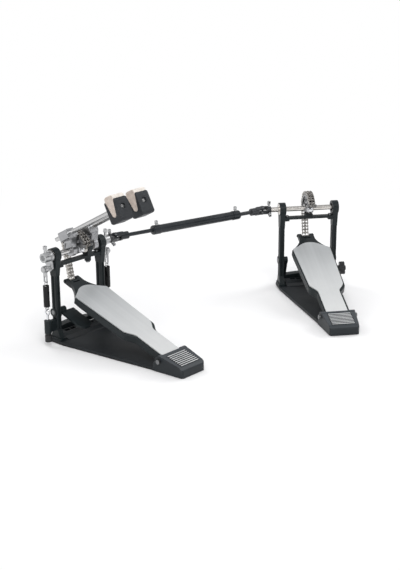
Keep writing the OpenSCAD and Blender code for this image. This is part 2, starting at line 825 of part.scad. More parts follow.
// Side view of the felt: wide at the striking face, round at its tip
module felt_outline(grow) {
    half = head_h / 2 - 2.6 + grow;
    polygon([
        [felt_tip_y, -felt_tip_r - grow], [head_front - 5, -half], [felt_front - 3, -half],
        [felt_front - 0.9, 2.1 - half], [felt_front, 5 - half], [felt_front, half - 5],
        [felt_front - 0.9, half - 2.1], [felt_front - 3, half], [head_front - 5, half],
        [felt_tip_y, felt_tip_r + grow]
    ]);
    translate([felt_tip_y, 0]) circle(felt_tip_r + grow);
}

module at_head(rod_x) {
    at_beater() translate([rod_x, 0, head_reach]) children();
}

module beater_shell(rod_x) {
    at_head(rod_x)
        difference() {
            intersection() {
                along_x(-head_w / 2, head_w / 2)
                    translate([(head_back + head_front - 4) / 2, 0])
                        round_rect(head_len - 4, head_h, 4.5);
                translate([0, (head_back + head_front - 4) / 2, -head_h / 2])
                    linear_extrude(head_h)
                        round_rect(head_w, head_len - 4, 3.5);
            }
            along_x(-head_w, head_w) felt_outline(0.1);
            translate([0, rod_offset, -head_h]) cylinder(r = rod_r + run_fit, h = 2 * head_h);
            translate([0, rod_offset, head_h / 2 - 2]) cylinder(r = rod_r + 1, h = 3);
        }
}

module beater_felt(rod_x) {
    at_head(rod_x)
        difference() {
            along_x(0.3 - head_w / 2, head_w / 2 - 0.3) felt_outline(0);
            translate([0, rod_offset, -head_h]) cylinder(r = rod_r + run_fit, h = 2 * head_h);
        }
}

// Rocker: clamped hub, crank plate and crank pin that pulls a spring
rocker_in = housing_out + 1.25;
hanger_hw = 3.2;

module rocker(side, spring_x, hub_end, plate_w) {
    translate([0, 0, axle_h]) {
        difference() {
            union() {
                bar_x(side * rocker_in, side * hub_end, 8.5);
                along_x(side * rocker_in, side * (rocker_in + plate_w)) {
                    link_outline([0, 0], [0, -crank_r], 10.5, 6.5, 6);
                    translate([4, -crank_r / 2]) circle(8);
                }
                translate([side * (hub_end - 6), 0, 7]) cylinder(r = 2.6, h = 9);
                translate([side * (hub_end - 6), 0, 15]) linear_extrude(6) round_rect(6, 6, 1);
            }
            bar_x(side * (rocker_in - 1), side * (hub_end + 1), axle_r + seat_fit);
        }
        bar_x(side * (rocker_in + plate_w - 1), side * (spring_x + hanger_hw + 2.4),
              crank_pin_r, 0, -crank_r);
        difference() {
            bar_x(side * (spring_x + hanger_hw + side_gap), side * (spring_x + hanger_hw + 2.4),
                  5.2, 0, -crank_r);
            for (turn = [45, 135])
                translate([side * (spring_x + hanger_hw + 2.4), 0, -crank_r])
                    rotate([turn, 0, 0])
                        cube([1.4, 8, 1.2], center = true);
        }
    }
}

// Hanger strap: ring on the crank pin, band and oval hook hole
hook_z = crank_z - 21.5;
module spring_hanger(side, spring_x) {
    x = side * spring_x;
    difference() {
        union() {
            bar_x(x - hanger_hw, x + hanger_hw, 6.4, 0, crank_z);
            along_x(x - 1.4, x + 1.4)
                link_outline([0, crank_z], [0, hook_z], 6.4, 4.4, 4.2);
        }
        bar_x(x - 5, x + 5, crank_pin_r + run_fit, 0, crank_z);
        along_x(x - 5, x + 5) link_outline([0, hook_z - 0.6], [0, hook_z + 6], 2.5, 2.5, 2.5);
    }
}

// Tension spring: one wire with a lower hook, its turns and an upper hook
coil_mid_r = spring_r - wire_r;
hook_r = 3.4;
rings_per_turn = 8;
wire_sides = 6;
hook_gap = 0.4;
hook_hole_r = 2.5;
eye_r = 5;
eye_wire_r = 1.5;
top_hook_z = hook_z - 0.6 - hook_hole_r + hook_gap + wire_r - hook_r;
low_hook_z = eye_z + eye_r - eye_wire_r - hook_gap - wire_r + hook_r;

wire = concat(
    [for (a = [50:-35:-230]) [hook_r * cos(a), 0, low_hook_z + hook_r * sin(a)]],
    [[-coil_mid_r * 0.85, 0.8, coil_bottom - 2]],
    [for (i = [0:spring_turns * rings_per_turn])
        let (a = 180 + 360 * i / rings_per_turn)
        [coil_mid_r * cos(a), coil_mid_r * sin(a),
         coil_bottom + (coil_top - coil_bottom) * i / (spring_turns * rings_per_turn)]],
    [[-coil_mid_r * 0.85, -0.8, coil_top + 1.6]],
    [for (a = [230:-35:-50]) [hook_r * cos(a), 0, top_hook_z + hook_r * sin(a)]]
);

function unit(v) = v / norm(v);
function directions(p) = [for (i = [0:len(p) - 1]) unit(p[min(i + 1, len(p) - 1)] - p[max(i - 1, 0)])];
function square_to(v, t) = unit(v - (v * t) * t);
function carried_normals(t, done) = len(done) == len(t) ? done
    : carried_normals(t, concat(done, [square_to(done[len(done) - 1], t[len(done)])]));

// One unbroken tube along a list of points
module wire_tube(p, r, sides) {
    t = directions(p);
    n = carried_normals(t, [[0, 1, 0]]);
    last = len(p) - 1;
    rings = [for (i = [0:last], k = [0:sides - 1])
        p[i] + r * (cos(360 * k / sides) * n[i] + sin(360 * k / sides) * cross(t[i], n[i]))];
    walls = [for (i = [0:last - 1], k = [0:sides - 1])
        let (a = i * sides + k, b = i * sides + (k + 1) % sides)
        each [[a, a + sides, b], [b, a + sides, b + sides]]];
    caps = [for (k = [1:sides - 2]) each [[0, k, k + 1],
        [last * sides, last * sides + k + 1, last * sides + k]]];
    polyhedron(rings, concat(walls, caps));
}

// Least gap of the spring wire to itself, more than a third of a turn apart
wire_gap = min([for (i = [0:len(wire) - 5])
    min([for (j = [i + 4:len(wire) - 1]) norm(wire[i] - wire[j]) - 2 * wire_r])]);
echo(spring_wire_least_gap = wire_gap);

module spring_coil(side, spring_x) {
    translate([side * spring_x, 0, 0]) wire_tube(wire, wire_r, wire_sides);
}

sleeve_z0 = coil_bottom - 2;
sleeve_z1 = coil_top + 2;
module spring_sleeve(side, spring_x) {
    translate([side * spring_x, 0, 0])
        rotate_extrude()
            difference() {
                translate([spring_r + 0.3, sleeve_z0])
                    square([sleeve_r - spring_r - 0.3, sleeve_z1 - sleeve_z0]);
                translate([sleeve_r, sleeve_z0]) circle(0.4, $fn = 16);
                translate([sleeve_r, sleeve_z1]) circle(0.4, $fn = 16);
            }
}

// Tension rods with an eye for the spring, and their knurled knobs
rod_foot = 10;
knob_z0 = 8;
knob_z1 = boss_z0 - side_gap;
module tension_rod(side, spring_x) {
    translate([side * spring_x, 0, 0]) {
        translate([0, 0, rod_foot]) cylinder(r = tension_r, h = eye_z - eye_r - rod_foot + 0.4);
        translate([0, 0, eye_z])
            rotate([0, 90, 0])
                rotate_extrude()
                    translate([eye_r, 0]) circle(eye_wire_r, $fn = 24);
    }
}

module tension_knob(side, spring_x) {
    grooves = 12;
    translate([side * spring_x, 0, 0])
        difference() {
            union() {
                translate([0, 0, knob_z0]) cylinder(r = knob_r, h = knob_z1 - knob_z0 - 3);
                translate([0, 0, knob_z0 + 2]) cylinder(r = knob_r - 1.8, h = knob_z1 - knob_z0 - 2);
            }
            translate([0, 0, knob_z0 - 1]) cylinder(r = tension_r + run_fit, h = knob_z1);
            for (i = [0:grooves - 1])
                rotate([0, 0, 360 * i / grooves])
                    translate([knob_r + 0.5, 0, knob_z0 - 1])
                        cylinder(r = 1.1, h = knob_z1 - knob_z0 - 3, $fn = 16);
        }
}

// Universal joints: a fork on each shaft and a cross between them.
// The cross stands at the origin and the fork's shaft lies along -X
yoke_r = 7.2;
arm_in = 4.9;
arm_out = 7.9;
arm_r = 4.6;
yoke_back = 10;
yoke_hub = 8;
stroke = 56;
slave_stroke = 53.6;
main_phase = stroke / 2;
slave_phase = slave_stroke / 2;
pin_a = [0, cos(main_phase), sin(main_phase)];
pin_b = unit(cross(pin_a, link_dir));
slave_x_dir = [cos(slave_yaw), -sin(slave_yaw), 0];
slave_y_dir = [sin(slave_yaw), cos(slave_yaw), 0];
pin_d = cos(slave_phase) * slave_y_dir + [0, 0, sin(slave_phase)];
pin_c = unit(cross(pin_d, link_dir));
link_y_dir = [sin(link_yaw), cos(link_yaw), 0];
phase_b = atan2(pin_b[2], -(pin_b * link_y_dir));
phase_c = atan2(pin_c[2], pin_c * link_y_dir);

module yoke(hub, pin_fit) {
    difference() {
        union() {
            bar_x(-yoke_back - hub, -yoke_back, yoke_r);
            for (side = [-1, 1])
                translate([0, side * (arm_in + arm_out) / 2, 0])
                    rotate([90, 0, 0])
                        translate([0, 0, -(arm_out - arm_in) / 2])
                            linear_extrude(arm_out - arm_in)
                                link_outline([-yoke_back - 4, 0], [0, 0], 4, arm_r, 4);
        }
        rotate([90, 0, 0])
            translate([0, 0, -arm_out - 1])
                cylinder(r = trunnion_r + pin_fit, h = 2 * arm_out + 2);
    }
}

module pin_along(d, r, half) {
    rotate([0, acos(d[2]), atan2(d[1], d[0])])
        cylinder(r = r, h = 2 * half, center = true);
}

module joint_cross(p, q) {
    for (d = [p, q]) {
        pin_along(d, trunnion_r, arm_out - 0.2);
        pin_along(d, arm_in - 1.8, arm_in - side_gap);
    }
}

module drive_yoke_form() {
    difference() {
        translate([cross_x, 0, axle_h]) rotate([main_phase, 0, 0]) yoke(yoke_hub, run_fit);
        bar_x(0, cross_x - yoke_back + 1, axle_r + seat_fit, 0, axle_h);
    }
    translate([cross_x - yoke_back - yoke_hub / 2, 0, axle_h + yoke_r - 1]) cylinder(r = 2.2, h = 4.5);
}

link_hub = 17;
tube_start = 80;
drive_rod_end = 100;

module at_link() {
    translate([cross_x, 0, axle_h])
        rotate([0, 0, -link_yaw])
            children();
}

module linkage_tube_form() {
    at_link() {
        difference() {
            union() {
                bar_x(tube_start, tube_start + tube_len, tube_r);
                bar_x(tube_start + 2, tube_start + 16, tube_r + 0.8);
                bar_x(tube_start + tube_len - 16, tube_start + tube_len - 2, tube_r + 0.8);
            }
            bar_x(tube_start - 1, tube_start + tube_len + 1, link_rod_r + run_fit);
        }
        rotate([0, 0, 180]) rotate([phase_b, 0, 0]) yoke(link_hub, open_fit);
        bar_x(yoke_back + link_hub - 1, drive_rod_end, link_rod_r);
    }
}

module linkage_rod_form() {
    at_link()
        translate([link_len, 0, 0]) {
            rotate([phase_c, 0, 0]) yoke(link_hub, open_fit);
            bar_x(-yoke_back - link_hub - slave_rod_len, -yoke_back - link_hub + 1, link_rod_r);
        }
}

module slave_yoke_form() {
    at_slave()
        difference() {
            translate([-slave_cross_x, 0, axle_h])
                rotate([0, 0, 180])
                    rotate([-slave_phase, 0, 0])
                        yoke(yoke_hub, run_fit);
            bar_x(-slave_cross_x + yoke_back - 1, 0, axle_r + seat_fit, 0, axle_h);
        }
}

// Hoop clamp: jaw over the hoop lip, side arms on the pivot pins, and a paddle
jaw_y0 = 14;
jaw_y1 = 30;
jaw_mid_h = 10;
jaw_end_h = 6;
arm_w = 8;
hub_r = 6.5;
lever_out = post_in - side_gap;
wing_tip = post_in - 2.1;

module clamp_lever_form(paddle_side) {
    bar_x0 = paddle_side * (post_in - 16);
    bar_x1 = paddle_side * (lever_out - 1);
    jaw_z = base_top + hoop_gap - clamp_z;
    sag = jaw_mid_h - jaw_end_h;
    top_r = (lever_out * lever_out + sag * sag) / (2 * sag);
    paddle_len = 63;
    difference() {
        translate([0, clamp_y, clamp_z]) {
            for (side = [-1, 1]) {
                bar_x(side * (lever_out - arm_w), side * lever_out, hub_r);
                along_x(side * (lever_out - arm_w), side * lever_out)
                    link_outline([0, 0], [jaw_y0 - clamp_y + 5, jaw_z + 6], hub_r, 6, 4.5);
            }
            bar_x(bar_x0, bar_x1, hub_r - 0.5);
            translate([0, jaw_y1 - clamp_y, jaw_z])
                rotate([90, 0, 0])
                    linear_extrude(jaw_y1 - jaw_y0)
                        intersection() {
                            translate([-lever_out, 0]) square([2 * lever_out, jaw_mid_h]);
                            translate([0, jaw_mid_h - top_r]) circle(top_r, $fn = 180);
                        }
            along_x(post_in - 7, post_in - 2.5)
                link_outline([0, 0], [wing_y - clamp_y, wing_z - clamp_z], hub_r, 5, 4);
            rotate([paddle_slope, 0, 0])
                translate([paddle_side * (lever_out - 3.6 - paddle_w / 2), 0, -4])
                    linear_extrude(4) {
                        translate([-paddle_w / 2, paddle_w / 2 - paddle_len])
                            square([paddle_w, paddle_len - paddle_w / 2]);
                        translate([0, paddle_w / 2 - paddle_len]) circle(paddle_w / 2);
                    }
        }
        bar_x(-lever_out - 1, lever_out + 1, clamp_pin_r + run_fit, clamp_y, clamp_z);
    }
}

// Wing bolt with two lobes; its plain tip bears beside the lever's tail
module clamp_wing_bolt_form(knob_x) {
    bar_x(wing_tip, knob_x + 1, wing_shank_r, wing_y, wing_z);
    bar_x(knob_x, knob_x + 3, 6, wing_y, wing_z);
    translate([0, wing_y, wing_z])
        along_x(knob_x + 3, knob_x + 13) {
            circle(6.4);
            for (turn = [65, 245])
                rotate(turn) link_outline([0, 0], [8.5, 0], 6, 4.6, 4.6);
        }
    bar_x(knob_x + 13, knob_x + 15, 5, wing_y, wing_z);
}

main_knob_x = right_spring_x + boss_r + 1.5;
slave_knob_x = post_out + 4;

module main_base_plate() color(charcoal) base_plate();
module main_base_mat() color(rubber) base_mat();
module main_posts() color(charcoal) {
    post(-1, left_spring_x);
    post(1, right_spring_x);
}
module main_bridge() color(charcoal) main_bridge_form();
module main_bearings() color(steel) {
    post_bearings();
    bearing(centre_x0, centre_bearing_w);
    bearing(centre_x1 - centre_bearing_w, centre_bearing_w);
}
module main_heel_block() color(charcoal) heel_block();
module main_heel_grip() color(dark_steel) heel_grip();
module main_frame_fasteners() color(nickel) {
    frame_fasteners();
    translate([centre_x, -3, bridge_z - 7]) rotate([180, 0, 0]) cap_head(4, 3);
}
module tension_rods() color(nickel) {
    tension_rod(-1, left_spring_x);
    tension_rod(1, right_spring_x);
}
module main_clamp_lever() color(charcoal) clamp_lever_form(-1);
module main_clamp_wing_bolt() color(charcoal) clamp_wing_bolt_form(main_knob_x);
module main_footboard_frame() color(charcoal) footboard_frame();
module main_footboard_plate() color(silver) footboard_plate();
module main_axle() color(steel)
    difference() {
        bar_x(-left_spring_x - 4.5, centre_x - side_gap / 2, axle_r, 0, axle_h);
        block([3 - housing_in, -19], [-axle_r, axle_r], [axle_h + axle_r - 0.8, axle_h + axle_r + 1]);
    }
module main_cam() color(nickel) cam();
module left_beater_holder() color(nickel) beater_holder(left_beater_x, -17.5, -9, -14.2);
module left_rocker() color(nickel) rocker(-1, left_spring_x, left_spring_x + 4, 4.5);
module main_chain_on_cam() color(steel) chain_on_cam();
module main_chain_segment() color(steel) chain_leaving();
module main_chain_hanging() color(steel) chain_hanging();
module left_beater_rod() color(steel) beater_rod(left_beater_x);
module left_beater_shell() color(charcoal) beater_shell(left_beater_x);
module left_beater_felt() color(felt) beater_felt(left_beater_x);
module left_spring_hanger() color(nickel) spring_hanger(-1, left_spring_x);
module left_spring_coil() color(steel) spring_coil(-1, left_spring_x);
module left_spring_sleeve() color(rubber) spring_sleeve(-1, left_spring_x);
module left_tension_knob() color(charcoal) tension_knob(-1, left_spring_x);
module drive_axle() color(steel)
    bar_x(centre_x + side_gap / 2, cross_x - yoke_back - 0.5, axle_r, 0, axle_h);
module right_beater_holder() color(nickel)
    beater_holder(right_beater_x, centre_x + 12, centre_x + 21, centre_x + 12);
module right_rocker() color(nickel)
    rocker(1, right_spring_x, cross_x - yoke_back - yoke_hub - side_gap, 3.5);
module drive_yoke() color(dark_steel) drive_yoke_form();
module right_beater_rod() color(steel) beater_rod(right_beater_x);
module right_beater_shell() color(charcoal) beater_shell(right_beater_x);
module right_beater_felt() color(felt) beater_felt(right_beater_x);
module right_spring_hanger() color(nickel) spring_hanger(1, right_spring_x);
module right_spring_coil() color(steel) spring_coil(1, right_spring_x);
module right_spring_sleeve() color(rubber) spring_sleeve(1, right_spring_x);
module right_tension_knob() color(charcoal) tension_knob(1, right_spring_x);
module drive_cross() color(nickel) translate([cross_x, 0, axle_h]) joint_cross(pin_a, pin_b);
module linkage_tube() color(charcoal) linkage_tube_form();
module linkage_rod() color(dark_steel) linkage_rod_form();
module slave_cross() color(nickel) translate(slave_cross_pos) joint_cross(pin_d, pin_c);
module slave_yoke() color(dark_steel) slave_yoke_form();
module slave_base_plate() color(charcoal) at_slave() base_plate();
module slave_base_mat() color(rubber) at_slave() base_mat();
module slave_posts() color(charcoal) at_slave() {
    post(-1, 0);
    post(1, 0);
}
module slave_bridge() color(charcoal) at_slave() slave_bridge_form();
module slave_bearings() color(steel) at_slave() post_bearings();
module slave_heel_block() color(charcoal) at_slave() heel_block();
module slave_heel_grip() color(dark_steel) at_slave() heel_grip();
module slave_frame_fasteners() color(nickel) at_slave() frame_fasteners();
module slave_clamp_lever() color(charcoal) at_slave() clamp_lever_form(1);
module slave_clamp_wing_bolt() color(charcoal) at_slave() clamp_wing_bolt_form(slave_knob_x);
module slave_footboard_frame() color(charcoal) at_slave() footboard_frame();
module slave_footboard_plate() color(silver) at_slave() footboard_plate();
module slave_axle() color(steel) at_slave()
    bar_x(yoke_back + 0.5 - slave_cross_x, housing_out - 0.5, axle_r, 0, axle_h);
module slave_cam() color(nickel) at_slave() cam();
module slave_chain_on_cam() color(steel) at_slave() chain_on_cam();
module slave_chain_segment() color(steel) at_slave() chain_leaving();
module slave_chain_hanging() color(steel) at_slave() chain_hanging();

main_base_plate();
main_base_mat();
main_posts();
main_bridge();
main_bearings();
main_heel_block();
main_heel_grip();
main_frame_fasteners();
tension_rods();
main_clamp_lever();
main_clamp_wing_bolt();
main_footboard_frame();
main_footboard_plate();
main_axle();
main_cam();
left_beater_holder();
left_rocker();
main_chain_on_cam();
main_chain_segment();
main_chain_hanging();
left_beater_rod();
left_beater_shell();
left_beater_felt();
left_spring_hanger();
left_spring_coil();
left_spring_sleeve();
left_tension_knob();
drive_axle();
right_beater_holder();
right_rocker();
drive_yoke();
right_beater_rod();
right_beater_shell();
right_beater_felt();
right_spring_hanger();
right_spring_coil();
right_spring_sleeve();
right_tension_knob();
drive_cross();
linkage_tube();
linkage_rod();
slave_cross();
slave_yoke();
slave_base_plate();
slave_base_mat();
slave_posts();
slave_bridge();
slave_bearings();
slave_heel_block();
slave_heel_grip();
slave_frame_fasteners();
slave_clamp_lever();
slave_clamp_wing_bolt();
slave_footboard_frame();
slave_footboard_plate();
slave_axle();
slave_cam();
slave_chain_on_cam();
slave_chain_segment();
slave_chain_hanging();
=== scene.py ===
import math

import bmesh
import bpy
from mathutils import Matrix, Vector, noise


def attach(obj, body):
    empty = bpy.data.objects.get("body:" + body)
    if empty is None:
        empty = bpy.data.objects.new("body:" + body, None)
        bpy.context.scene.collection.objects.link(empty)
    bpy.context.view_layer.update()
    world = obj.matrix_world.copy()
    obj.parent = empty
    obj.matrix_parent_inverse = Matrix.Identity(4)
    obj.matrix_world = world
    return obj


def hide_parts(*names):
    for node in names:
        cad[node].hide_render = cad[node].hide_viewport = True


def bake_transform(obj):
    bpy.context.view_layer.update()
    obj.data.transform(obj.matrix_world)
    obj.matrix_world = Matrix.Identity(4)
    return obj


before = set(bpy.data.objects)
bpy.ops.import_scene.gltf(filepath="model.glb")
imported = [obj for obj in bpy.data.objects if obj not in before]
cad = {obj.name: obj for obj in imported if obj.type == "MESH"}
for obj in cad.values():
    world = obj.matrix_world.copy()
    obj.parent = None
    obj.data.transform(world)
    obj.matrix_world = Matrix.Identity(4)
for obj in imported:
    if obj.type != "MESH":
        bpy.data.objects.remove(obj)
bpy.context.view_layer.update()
scene = bpy.context.scene
scene.view_settings.view_transform = "Standard"


# The view: a long lens from the left and behind the heel, a little above
# the pedals, on a plain white floor that fades into a white surround.
yaw, pitch, roll = math.radians(42.75), math.radians(-18.95), math.radians(-0.38)
view_from = (-1.34007, -1.53911, 0.79034)
middle_of_set = (0.25, -0.12, 0)
fade_from, fade_to = 0.25, 1.1
lamp_aim = Vector((0.2, -0.1, 0.1))
forward = Vector((math.cos(yaw) * math.cos(pitch), math.sin(yaw) * math.cos(pitch), math.sin(pitch)))
level_right = Vector((math.sin(yaw), -math.cos(yaw), 0))
level_up = level_right.cross(forward)
right = math.cos(roll) * level_right + math.sin(roll) * level_up
up = math.cos(roll) * level_up - math.sin(roll) * level_right
lens = bpy.data.cameras.new("camera")
lens.sensor_fit = "HORIZONTAL"
lens.sensor_width = 36
lens.lens = 106.29
lens.clip_end = 50
camera = bpy.data.objects.new("camera", lens)
scene.collection.objects.link(camera)
camera.matrix_world = Matrix.Translation(view_from) @ Matrix((right, up, -forward)).transposed().to_4x4()
scene.camera = camera

surround = bpy.data.worlds.new("white_surround")
surround.use_nodes = True
scene.world = surround
sky = surround.node_tree.nodes
sky_link = surround.node_tree.links.new
path = sky.new("ShaderNodeLightPath")
seen = sky.new("ShaderNodeMath")
seen.operation = "MAXIMUM"
sky_link(path.outputs["Is Camera Ray"], seen.inputs[0])
sky_link(path.outputs["Is Transmission Ray"], seen.inputs[1])
heading = sky.new("ShaderNodeTexCoord")
split = sky.new("ShaderNodeSeparateXYZ")
sky_link(heading.outputs["Generated"], split.inputs[0])
bands = sky.new("ShaderNodeValToRGB")
bands.color_ramp.elements[0].color = (0.92, 0.92, 0.92, 1)
bands.color_ramp.elements[1].color = (0.30, 0.31, 0.32, 1)
for place, level in ((0.10, 0.88), (0.20, 0.36), (0.50, 0.16), (0.62, 0.90), (0.80, 0.75), (0.92, 0.45)):
    bands.color_ramp.elements.new(place).color = (level, level, level * 1.01, 1)
sky_link(split.outputs["Z"], bands.inputs[0])
glossy_look = sky.new("ShaderNodeMix")
glossy_look.data_type = "RGBA"
glossy_look.inputs["A"].default_value = (0.62, 0.62, 0.63, 1)
sky_link(path.outputs["Is Glossy Ray"], glossy_look.inputs["Factor"])
sky_link(bands.outputs["Color"], glossy_look.inputs["B"])
shown = sky.new("ShaderNodeMix")
shown.data_type = "RGBA"
shown.inputs["B"].default_value = (1, 1, 1, 1)
sky_link(seen.outputs[0], shown.inputs["Factor"])
sky_link(glossy_look.outputs["Result"], shown.inputs["A"])
sky_link(shown.outputs["Result"], sky["Background"].inputs["Color"])

floor_mesh = bpy.data.meshes.new("floor")
floor_mesh.from_pydata([(-9, -9, 0), (9, -9, 0), (9, 9, 0), (-9, 9, 0)], [], [(0, 1, 2, 3)])
floor = bpy.data.objects.new("floor", floor_mesh)
scene.collection.objects.link(floor)
paper = bpy.data.materials.new("white_paper")
paper.use_nodes = True
sheet = paper.node_tree.nodes
sheet_link = paper.node_tree.links.new
sheet["Principled BSDF"].inputs["Base Color"].default_value = (0.93, 0.93, 0.93, 1)
sheet["Principled BSDF"].inputs["Roughness"].default_value = 0.9
sheet["Principled BSDF"].inputs["Specular IOR Level"].default_value = 0.1
where = sheet.new("ShaderNodeTexCoord")
reach = sheet.new("ShaderNodeVectorMath")
reach.operation = "DISTANCE"
reach.inputs[1].default_value = middle_of_set
sheet_link(where.outputs["Object"], reach.inputs[0])
fade = sheet.new("ShaderNodeMapRange")
fade.interpolation_type = "SMOOTHSTEP"
fade.inputs["From Min"].default_value = fade_from
fade.inputs["From Max"].default_value = fade_to
sheet_link(reach.outputs["Value"], fade.inputs["Value"])
ray = sheet.new("ShaderNodeLightPath")
either = sheet.new("ShaderNodeMath")
either.operation = "MAXIMUM"
sheet_link(ray.outputs["Is Camera Ray"], either.inputs[0])
sheet_link(ray.outputs["Is Transmission Ray"], either.inputs[1])
or_glossy = sheet.new("ShaderNodeMath")
or_glossy.operation = "MAXIMUM"
sheet_link(either.outputs[0], or_glossy.inputs[0])
sheet_link(ray.outputs["Is Glossy Ray"], or_glossy.inputs[1])
only_seen = sheet.new("ShaderNodeMath")
only_seen.operation = "MULTIPLY"
sheet_link(fade.outputs["Result"], only_seen.inputs[0])
sheet_link(or_glossy.outputs[0], only_seen.inputs[1])
white = sheet.new("ShaderNodeEmission")
mixed = sheet.new("ShaderNodeMixShader")
sheet_link(only_seen.outputs[0], mixed.inputs[0])
sheet_link(sheet["Principled BSDF"].outputs[0], mixed.inputs[1])
sheet_link(white.outputs[0], mixed.inputs[2])
sheet_link(mixed.outputs[0], sheet["Material Output"].inputs["Surface"])
floor_mesh.materials.append(paper)

for name, place, size, watts in (
        ("key_lamp", (-0.9, -1.3, 1.9), 1.3, 26),
        ("side_lamp", (1.9, -0.7, 1.2), 0.9, 12),
        ("back_lamp", (0.1, 1.8, 1.5), 1.2, 14)):
    lamp = bpy.data.lights.new(name, "AREA")
    lamp.size = size
    lamp.energy = watts
    stand = bpy.data.objects.new(name, lamp)
    scene.collection.objects.link(stand)
    stand.location = place
    stand.rotation_euler = (lamp_aim - Vector(place)).to_track_quat("-Z", "Y").to_euler()


# Posts, bridges, heel blocks, clamp levers and footboard frames: die-cast
# aluminium under a satin black coat, a little rounded and rubbed at the edges.
def shader_effect(name, wants, gives):
    group = bpy.data.node_groups.new(name, "ShaderNodeTree")
    for label, kind, value in wants:
        group.interface.new_socket(label, in_out="INPUT", socket_type=kind).default_value = value
    for label, kind in gives:
        group.interface.new_socket(label, in_out="OUTPUT", socket_type=kind)
    return group, group.nodes.new("NodeGroupInput"), group.nodes.new("NodeGroupOutput")


NUMBER, DIRECTION = "NodeSocketFloat", "NodeSocketVector"

# Edges: the rounding of a real edge, and where it is rubbed through
worn_edges, ask, give = shader_effect(
    "worn_edges", [("Radius", NUMBER, 0.0006), ("Reach", NUMBER, 0.0012), ("Patches", NUMBER, 90)],
    [("Normal", DIRECTION), ("Rubbed", NUMBER)])
n, link = worn_edges.nodes.new, worn_edges.links.new
soft = n("ShaderNodeBevel")
soft.samples = 4
link(ask.outputs["Radius"], soft.inputs["Radius"])
wide = n("ShaderNodeBevel")
wide.samples = 4
link(ask.outputs["Reach"], wide.inputs["Radius"])
face = n("ShaderNodeNewGeometry")
alike = n("ShaderNodeVectorMath")
alike.operation = "DOT_PRODUCT"
link(wide.outputs["Normal"], alike.inputs[0])
link(face.outputs["Normal"], alike.inputs[1])
at_edge = n("ShaderNodeMapRange")
at_edge.inputs["From Min"].default_value = 0.97
at_edge.inputs["From Max"].default_value = 0.82
link(alike.outputs["Value"], at_edge.inputs["Value"])
spot = n("ShaderNodeTexCoord")
patch = n("ShaderNodeTexNoise")
patch.inputs["Detail"].default_value = 5
link(spot.outputs["Object"], patch.inputs["Vector"])
link(ask.outputs["Patches"], patch.inputs["Scale"])
cut = n("ShaderNodeMapRange")
cut.inputs["From Min"].default_value = 0.50
cut.inputs["From Max"].default_value = 0.72
link(patch.outputs["Fac"], cut.inputs["Value"])
rubbed = n("ShaderNodeMath")
rubbed.operation = "MULTIPLY"
link(at_edge.outputs["Result"], rubbed.inputs[0])
link(cut.outputs["Result"], rubbed.inputs[1])
link(soft.outputs["Normal"], give.inputs["Normal"])
link(rubbed.outputs[0], give.inputs["Rubbed"])

# Coat grain: the fine pebbling of a sprayed or cast skin, with faint clouding
coat_grain, ask, give = shader_effect(
    "coat_grain", [("Scale", NUMBER, 900), ("Clouds", NUMBER, 22)],
    [("Height", NUMBER), ("Cloud", NUMBER)])
n, link = coat_grain.nodes.new, coat_grain.links.new
spot = n("ShaderNodeTexCoord")
pebbles = n("ShaderNodeTexNoise")
pebbles.inputs["Detail"].default_value = 3
link(spot.outputs["Object"], pebbles.inputs["Vector"])
link(ask.outputs["Scale"], pebbles.inputs["Scale"])
clouds = n("ShaderNodeTexNoise")
clouds.inputs["Detail"].default_value = 6
clouds.inputs["Roughness"].default_value = 0.62
link(spot.outputs["Object"], clouds.inputs["Vector"])
link(ask.outputs["Clouds"], clouds.inputs["Scale"])
spread = n("ShaderNodeMapRange")
spread.inputs["From Min"].default_value = 0.32
spread.inputs["From Max"].default_value = 0.68
link(clouds.outputs["Fac"], spread.inputs["Value"])
link(pebbles.outputs["Fac"], give.inputs["Height"])
link(spread.outputs["Result"], give.inputs["Cloud"])

# Facing: how squarely the surface looks along one direction or against it
facing, ask, give = shader_effect(
    "facing", [("Way", DIRECTION, (0, 0, 1)), ("Low", NUMBER, 0.5), ("High", NUMBER, 0.9)], [("Mask", NUMBER)])
n, link = facing.nodes.new, facing.links.new
surface = n("ShaderNodeTexCoord")
squarely = n("ShaderNodeVectorMath")
squarely.operation = "DOT_PRODUCT"
link(surface.outputs["Normal"], squarely.inputs[0])
link(ask.outputs["Way"], squarely.inputs[1])
both_ways = n("ShaderNodeMath")
both_ways.operation = "ABSOLUTE"
link(squarely.outputs["Value"], both_ways.inputs[0])
mask = n("ShaderNodeMapRange")
link(both_ways.outputs[0], mask.inputs["Value"])
link(ask.outputs["Low"], mask.inputs["From Min"])
link(ask.outputs["High"], mask.inputs["From Max"])
link(mask.outputs["Result"], give.inputs["Mask"])


def add_effect(tree, group, **values):
    made = tree.nodes.new("ShaderNodeGroup")
    made.node_tree = group
    for label, value in values.items():
        made.inputs[label].default_value = value
    return made


def mixed_colour(tree, factor, a, b):
    made = tree.nodes.new("ShaderNodeMix")
    made.data_type = "RGBA"
    tree.links.new(factor, made.inputs["Factor"])
    for socket, value in (("A", a), ("B", b)):
        if isinstance(value, tuple):
            made.inputs[socket].default_value = (*value, 1)
        else:
            tree.links.new(value, made.inputs[socket])
    return made.outputs["Result"]


def ranged(tree, value, low, high):
    made = tree.nodes.new("ShaderNodeMapRange")
    made.inputs["To Min"].default_value = low
    made.inputs["To Max"].default_value = high
    tree.links.new(value, made.inputs["Value"])
    return made.outputs["Result"]


def bumped(tree, height, distance, strength, normal=None):
    made = tree.nodes.new("ShaderNodeBump")
    made.inputs["Distance"].default_value = distance
    made.inputs["Strength"].default_value = strength
    tree.links.new(height, made.inputs["Height"])
    if normal is not None:
        tree.links.new(normal, made.inputs["Normal"])
    return made.outputs["Normal"]


